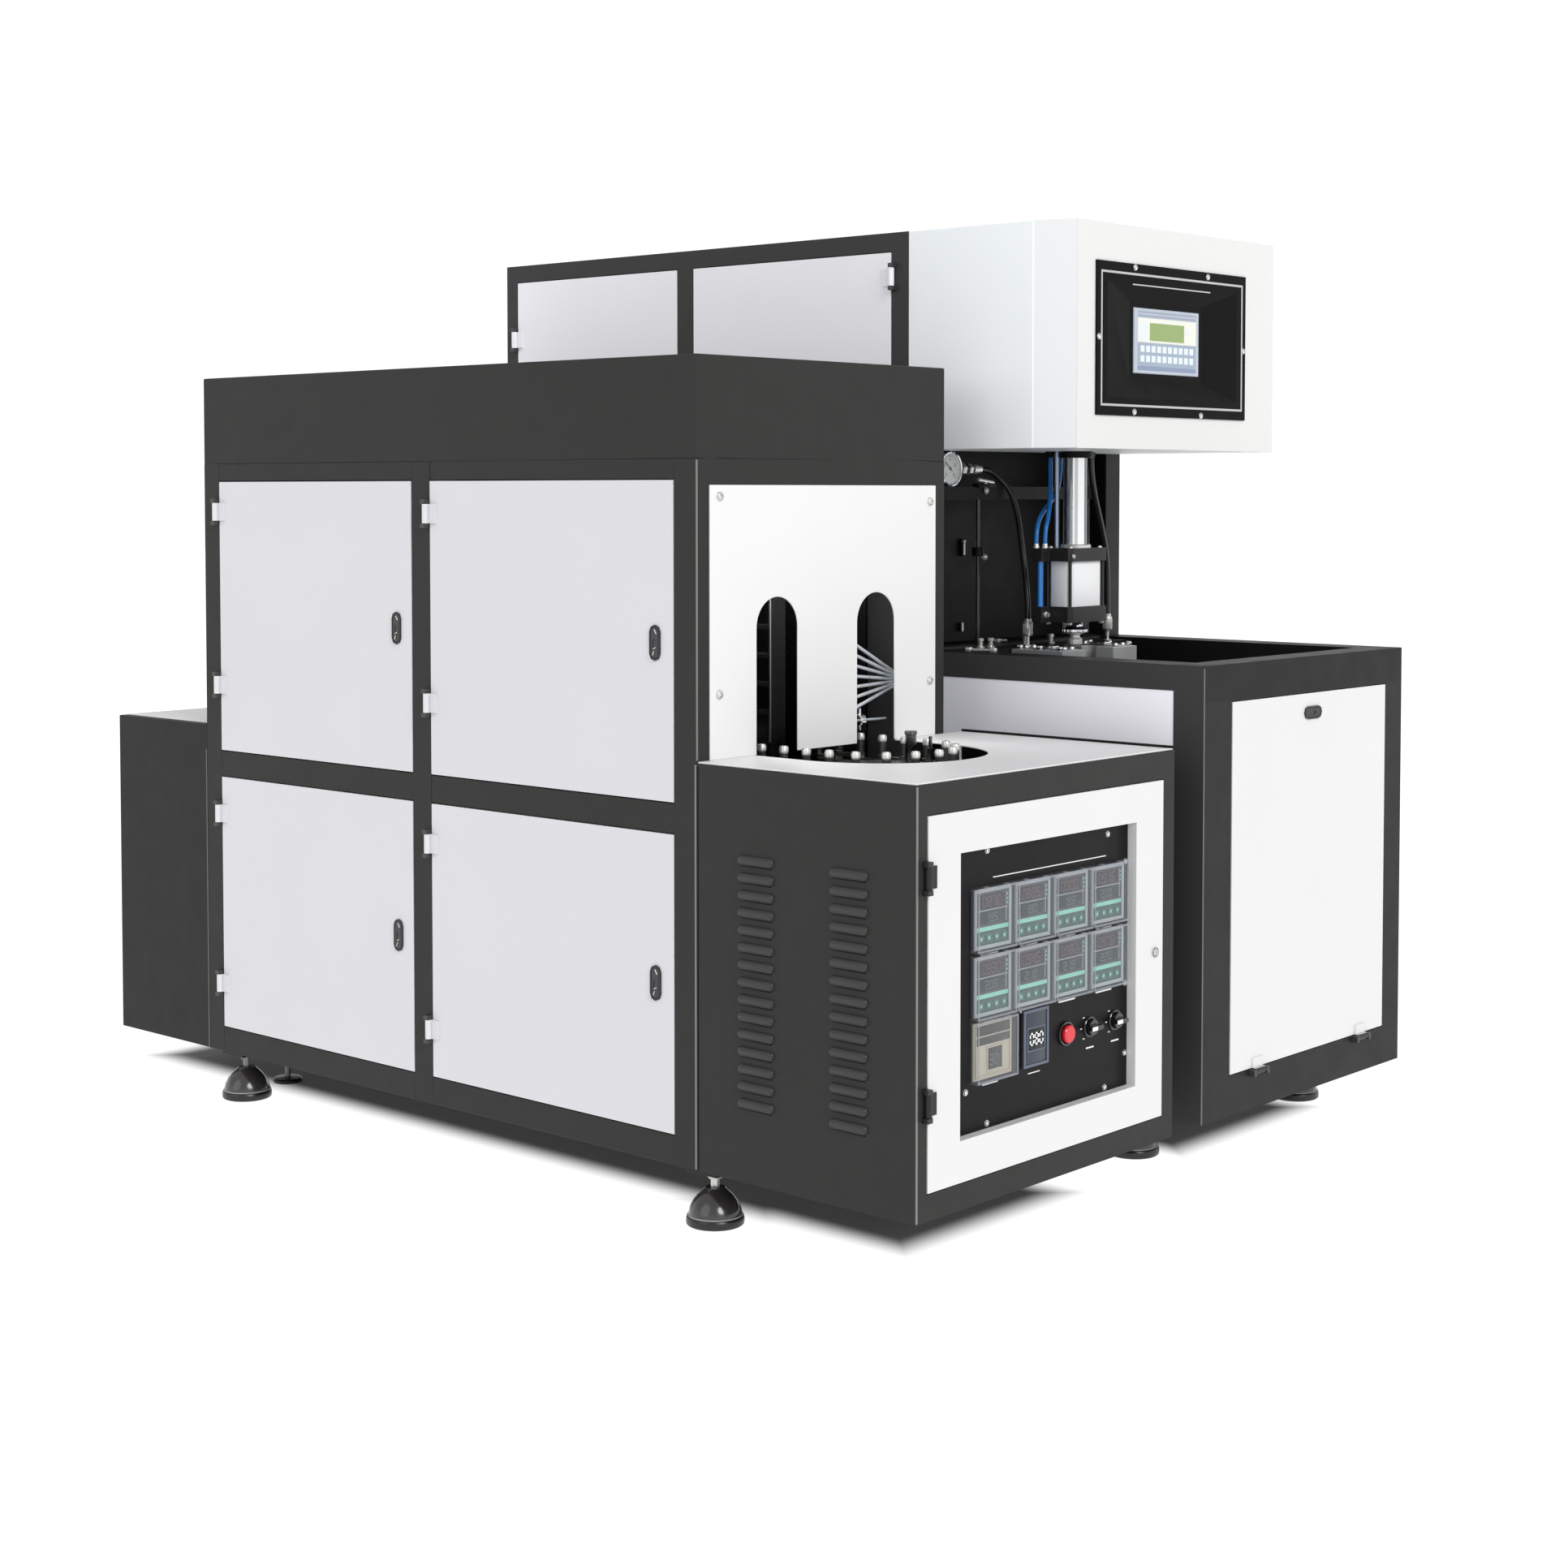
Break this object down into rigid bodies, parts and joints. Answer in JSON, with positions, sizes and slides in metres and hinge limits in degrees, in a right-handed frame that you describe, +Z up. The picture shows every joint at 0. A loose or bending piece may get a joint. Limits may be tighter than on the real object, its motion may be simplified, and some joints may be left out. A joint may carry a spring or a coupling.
{
  "type": "blow moulding machine",
  "caption": "Two-unit stretch blow moulding machine: a preform heating oven with chain conveyor and control cabinet beside a blowing station with a head, table and mould clamp.",
  "frame": {"origin": "on the floor under the middle of the bounding box", "axes": "+Z up, front with the instruments and the screen faces -Y, oven doors face -X, +X to the right"},
  "size_m": [1.527, 2.155, 1.715],
  "materials": {
    "dark_coat": "fine satin powder coat",
    "white_coat": "smooth satin powder coat",
    "door_coat": "smooth satin powder coat",
    "light_grey_coat": "smooth satin powder coat",
    "steel": "machined",
    "motor_grey": "cast, painted",
    "polished_aluminium": "polished sheet",
    "quartz": "clear tube",
    "black_metal": "black satin",
    "black_plastic": "moulded",
    "latch_grey": "moulded",
    "clear_plastic": "clear moulded cover",
    "beige_plastic": "moulded",
    "red_plastic": "gloss",
    "chrome": "polished",
    "screen": "display face",
    "brushed_aluminium": "brushed",
    "blue_tube": "polyurethane tube",
    "gauge_case": "black case, white dial",
    "mould_aluminium": "milled",
    "black_hose": "smooth rubber",
    "foot_rubber": "moulded, slightly glossy"
  },
  "bodies": {
    "machine": {"heater_frame": "dark_coat", "conveyor_chain": "steel", "chain_sprockets": "steel", "drive_motor": "motor_grey", "unit_ties": "dark_coat", "lamp_reflectors": "polished_aluminium", "quartz_lamps": "quartz", "oven_hood": "dark_coat", "arch_panel": "white_coat", "fixed_side_panels": "light_grey_coat", "rear_housing": "dark_coat", "rear_housing_lid": "light_grey_coat", "control_housing": "dark_coat", "control_deck": "white_coat", "hinge_pins": "black_metal", "blower_frame": "dark_coat", "head_housing": "white_coat", "hmi_bezel": "black_plastic", "touch_screen": "screen", "blow_column": "chrome", "cylinder_flanges": "black_metal", "cylinder_body": "brushed_aluminium", "air_tube": "blue_tube", "pressure_gauge": "gauge_case", "clamp_rails": "steel", "air_fittings": "chrome", "hose_black_supply": "black_hose", "hose_black_return": "black_hose", "hose_blue_supply": "blue_tube", "hose_blue_return": "blue_tube", "foot_pads": "foot_rubber", "foot_stems": "steel"},
    "oven_door_upper_front": {"oven_door_upper_front": "door_coat", "latch_housing_upper_front": "black_plastic"},
    "latch_paddle_upper_front": {"latch_paddle_upper_front": "latch_grey"},
    "oven_door_lower_front": {"oven_door_lower_front": "door_coat", "latch_housing_lower_front": "black_plastic"},
    "latch_paddle_lower_front": {"latch_paddle_lower_front": "latch_grey"},
    "oven_door_upper_rear": {"oven_door_upper_rear": "door_coat", "latch_housing_upper_rear": "black_plastic"},
    "latch_paddle_upper_rear": {"latch_paddle_upper_rear": "latch_grey"},
    "oven_door_lower_rear": {"oven_door_lower_rear": "door_coat", "latch_housing_lower_rear": "black_plastic"},
    "latch_paddle_lower_rear": {"latch_paddle_lower_rear": "latch_grey"},
    "cabinet_door_front": {"cabinet_door_front": "door_coat"},
    "cabinet_door_rear": {"cabinet_door_rear": "door_coat"},
    "control_door": {"control_door": "white_coat", "instrument_panel": "black_metal", "panel_instruments": "black_plastic", "counter_timer": "beige_plastic", "instrument_covers": "clear_plastic"},
    "start_button": {"start_button": "red_plastic"},
    "selector_knob_left": {"selector_knob_left": "black_plastic"},
    "selector_knob_right": {"selector_knob_right": "black_plastic"},
    "door_lock": {"door_lock": "chrome"},
    "table_panel": {"table_panel": "white_coat", "latch_housing_table": "black_plastic"},
    "latch_paddle_table": {"latch_paddle_table": "latch_grey"},
    "blow_nozzle": {"blow_nozzle": "chrome"},
    "mould_left": {"mould_left": "mould_aluminium"},
    "mould_right": {"mould_right": "mould_aluminium"}
  },
  "joints": [
    {"name": "upper_front_door_hinge", "type": "hinge", "parent": "machine", "child": "oven_door_upper_front", "pos_m": [-0.7575, 0.0755, 0.9685], "axis": [0, 0, -1], "range_deg": [0, 95]},
    {"name": "upper_front_latch", "type": "hinge", "parent": "oven_door_upper_front", "child": "latch_paddle_upper_front", "pos_m": [-0.7527, -0.5075, 0.983], "axis": [0, 1, 0], "range_deg": [0, 35], "stiffness_Nm_per_rad": 0.05},
    {"name": "lower_front_door_hinge", "type": "hinge", "parent": "machine", "child": "oven_door_lower_front", "pos_m": [-0.7575, 0.0755, 0.3975], "axis": [0, 0, -1], "range_deg": [0, 95]},
    {"name": "lower_front_latch", "type": "hinge", "parent": "oven_door_lower_front", "child": "latch_paddle_lower_front", "pos_m": [-0.7527, -0.5075, 0.414], "axis": [0, 1, 0], "range_deg": [0, 35], "stiffness_Nm_per_rad": 0.05},
    {"name": "upper_rear_door_hinge", "type": "hinge", "parent": "machine", "child": "oven_door_upper_rear", "pos_m": [-0.7575, 0.7205, 0.9685], "axis": [0, 0, -1], "range_deg": [0, 95]},
    {"name": "upper_rear_latch", "type": "hinge", "parent": "oven_door_upper_rear", "child": "latch_paddle_upper_rear", "pos_m": [-0.7527, 0.1645, 0.983], "axis": [0, 1, 0], "range_deg": [0, 35], "stiffness_Nm_per_rad": 0.05},
    {"name": "lower_rear_door_hinge", "type": "hinge", "parent": "machine", "child": "oven_door_lower_rear", "pos_m": [-0.7575, 0.7205, 0.3975], "axis": [0, 0, -1], "range_deg": [0, 95]},
    {"name": "lower_rear_latch", "type": "hinge", "parent": "oven_door_lower_rear", "child": "latch_paddle_lower_rear", "pos_m": [-0.7527, 0.1645, 0.414], "axis": [0, 1, 0], "range_deg": [0, 35], "stiffness_Nm_per_rad": 0.05},
    {"name": "cabinet_front_door_hinge", "type": "hinge", "parent": "machine", "child": "cabinet_door_front", "pos_m": [0.0415, -0.3575, 1.2945], "axis": [0, 0, 1], "range_deg": [0, 15]},
    {"name": "cabinet_rear_door_hinge", "type": "hinge", "parent": "machine", "child": "cabinet_door_rear", "pos_m": [0.0415, 0.7265, 1.2945], "axis": [0, 0, -1], "range_deg": [0, 15]},
    {"name": "control_door_hinge", "type": "hinge", "parent": "machine", "child": "control_door", "pos_m": [-0.7285, -1.0715, 0.43], "axis": [0, 0, -1], "range_deg": [0, 100]},
    {"name": "start_button_press", "type": "slide", "parent": "control_door", "child": "start_button", "axis": [0, 1, 0], "range_m": [0, 0.004], "stiffness_N_per_m": 500},
    {"name": "selector_left_turn", "type": "hinge", "parent": "control_door", "child": "selector_knob_left", "pos_m": [-0.2685, -1.0645, 0.322], "axis": [0, 1, 0], "range_deg": [-45, 45]},
    {"name": "selector_right_turn", "type": "hinge", "parent": "control_door", "child": "selector_knob_right", "pos_m": [-0.1955, -1.0645, 0.322], "axis": [0, 1, 0], "range_deg": [-45, 45]},
    {"name": "door_lock_turn", "type": "hinge", "parent": "control_door", "child": "door_lock", "pos_m": [-0.1035, -1.0645, 0.427], "axis": [0, -1, 0], "range_deg": [0, 90]},
    {"name": "table_panel_tilt", "type": "hinge", "parent": "machine", "child": "table_panel", "pos_m": [0.4195, -1.0715, 0.165], "axis": [1, 0, 0], "range_deg": [0, 90]},
    {"name": "table_latch", "type": "hinge", "parent": "table_panel", "child": "latch_paddle_table", "pos_m": [0.4375, -1.0667, 0.805], "axis": [0, 0, 1], "range_deg": [0, 35], "stiffness_Nm_per_rad": 0.05},
    {"name": "nozzle_down", "type": "slide", "parent": "machine", "child": "blow_nozzle", "axis": [0, 0, -1], "range_m": [0, 0.027]},
    {"name": "mould_left_close", "type": "slide", "parent": "machine", "child": "mould_left", "axis": [1, 0, 0], "range_m": [0, 0.0475]},
    {"name": "mould_right_close", "type": "slide", "parent": "machine", "child": "mould_right", "axis": [-1, 0, 0], "range_m": [0, 0.0475]}
  ],
  "couplings": [
    {"joint": "mould_right_close", "follows": "mould_left_close", "ratio": 1}
  ]
}
